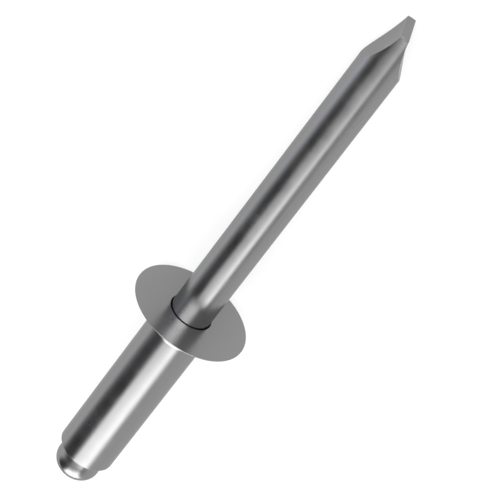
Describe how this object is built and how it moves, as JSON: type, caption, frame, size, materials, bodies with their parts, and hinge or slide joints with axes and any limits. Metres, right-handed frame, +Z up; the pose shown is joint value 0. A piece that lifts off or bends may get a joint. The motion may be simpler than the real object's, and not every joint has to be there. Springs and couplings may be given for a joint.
{
  "type": "pop rivet",
  "caption": "Unset blind rivet: a hollow body with a flat flange on a countersunk head, threaded on a pull mandrel with a domed head and a chisel-cropped tip.",
  "frame": {"origin": "on the surface that the rivet lies on, under the middle of its bounding box", "axes": "+Z up from the surface; +X along the lying rivet, from the domed mandrel head towards the cropped tip; the rivet's own axis dips 6.05 degrees below +X"},
  "size_m": [0.0418, 0.0082, 0.0082],
  "materials": {
    "body_steel": "bright, finely turned",
    "mandrel_steel": "bright drawn wire"
  },
  "bodies": {
    "root": {"rivet_body": "body_steel", "mandrel": "mandrel_steel"}
  },
  "joints": []
}
